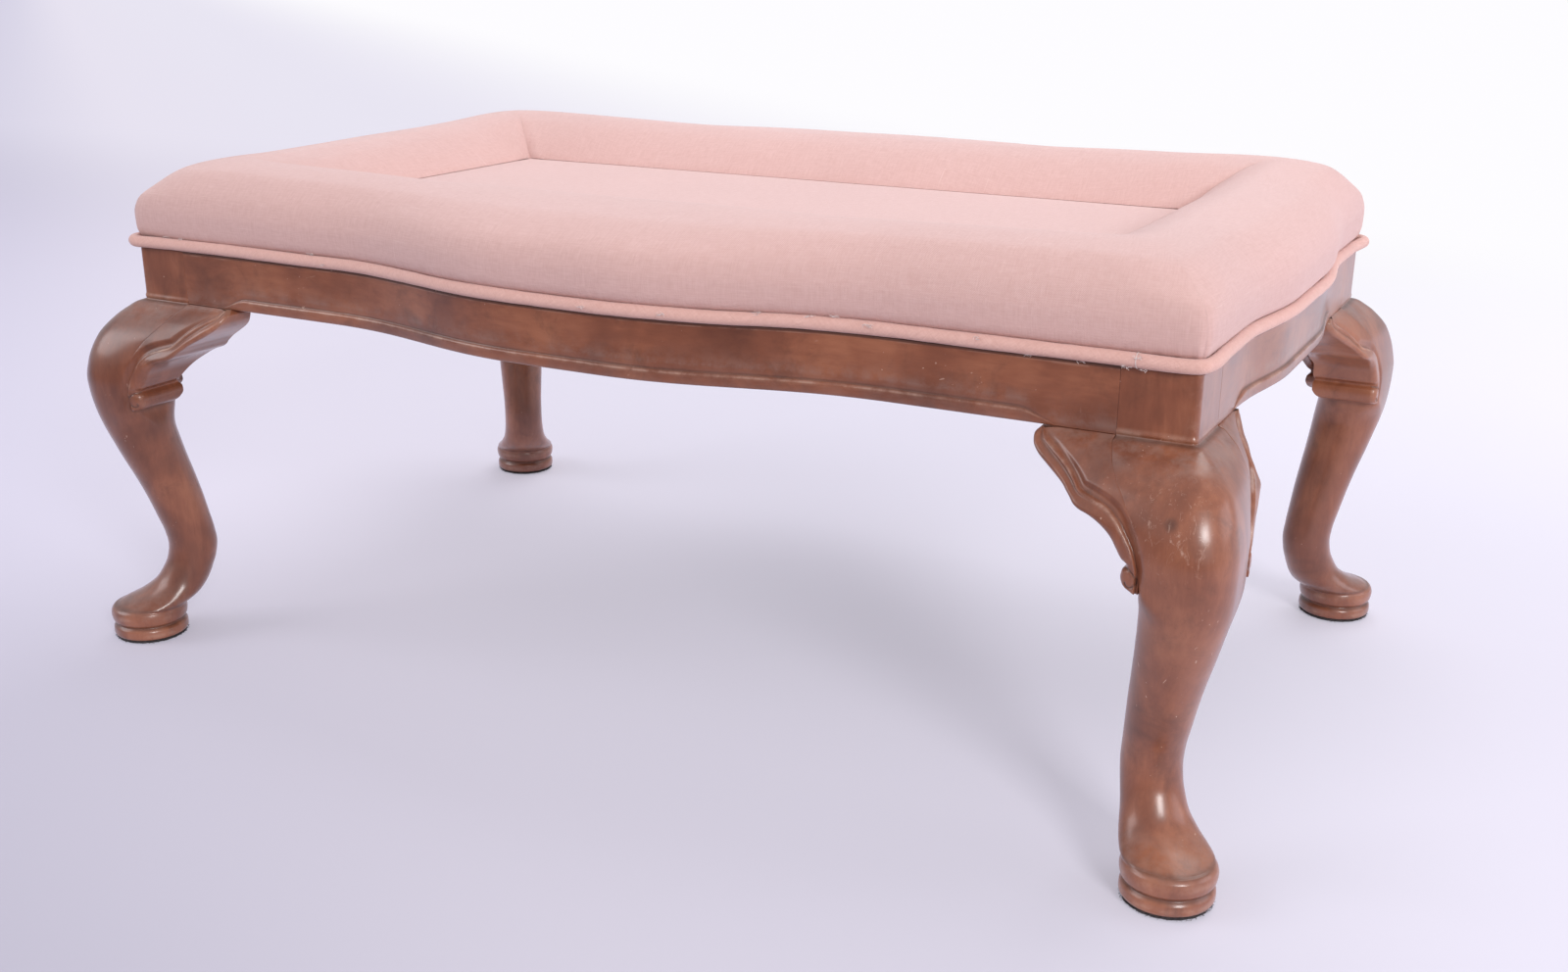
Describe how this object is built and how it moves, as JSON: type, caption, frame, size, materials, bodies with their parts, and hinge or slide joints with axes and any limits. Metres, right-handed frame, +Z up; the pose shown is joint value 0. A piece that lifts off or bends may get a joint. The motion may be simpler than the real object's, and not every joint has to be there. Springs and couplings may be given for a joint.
{
  "type": "upholstered footstool",
  "caption": "Long cabriole-leg footstool with pad feet, scrolled knee brackets, serpentine beaded rails and a rolled, mitred border round a sunken seat panel.",
  "frame": {"origin": "on the floor, under the middle of the stool", "axes": "+X along the long side, +Y to the back, +Z up"},
  "size_m": [0.989, 0.626, 0.4175],
  "materials": {
    "mahogany": "satin lacquer, worn",
    "linen": "slubbed plain weave",
    "foam": "open-cell foam",
    "plywood": "raw sanded",
    "pine": "raw sawn",
    "felt": "felt",
    "cambric": "thin non-woven",
    "steel": "zinc plated"
  },
  "bodies": {
    "root": {"leg_front_left": "mahogany", "long_knee_bracket_front_left": "mahogany", "end_knee_bracket_front_left": "mahogany", "corner_block_front_left": "pine", "long_block_screw_front_left": "steel", "end_block_screw_front_left": "steel", "seat_screw_front_left": "steel", "felt_pad_front_left": "felt", "leg_front_right": "mahogany", "long_knee_bracket_front_right": "mahogany", "end_knee_bracket_front_right": "mahogany", "corner_block_front_right": "pine", "long_block_screw_front_right": "steel", "end_block_screw_front_right": "steel", "seat_screw_front_right": "steel", "felt_pad_front_right": "felt", "leg_back_left": "mahogany", "long_knee_bracket_back_left": "mahogany", "end_knee_bracket_back_left": "mahogany", "corner_block_back_left": "pine", "long_block_screw_back_left": "steel", "end_block_screw_back_left": "steel", "seat_screw_back_left": "steel", "felt_pad_back_left": "felt", "leg_back_right": "mahogany", "long_knee_bracket_back_right": "mahogany", "end_knee_bracket_back_right": "mahogany", "corner_block_back_right": "pine", "long_block_screw_back_right": "steel", "end_block_screw_back_right": "steel", "seat_screw_back_right": "steel", "felt_pad_back_right": "felt", "front_rail": "mahogany", "back_rail": "mahogany", "left_rail": "mahogany", "right_rail": "mahogany", "seat_board": "plywood", "dust_cover": "cambric", "piping": "linen", "center_foam": "foam", "center_cover": "linen", "border_cover_front": "linen", "border_foam_front": "foam", "border_cover_back": "linen", "border_foam_back": "foam", "border_cover_left": "linen", "border_foam_left": "foam", "border_cover_right": "linen", "border_foam_right": "foam"}
  },
  "joints": []
}
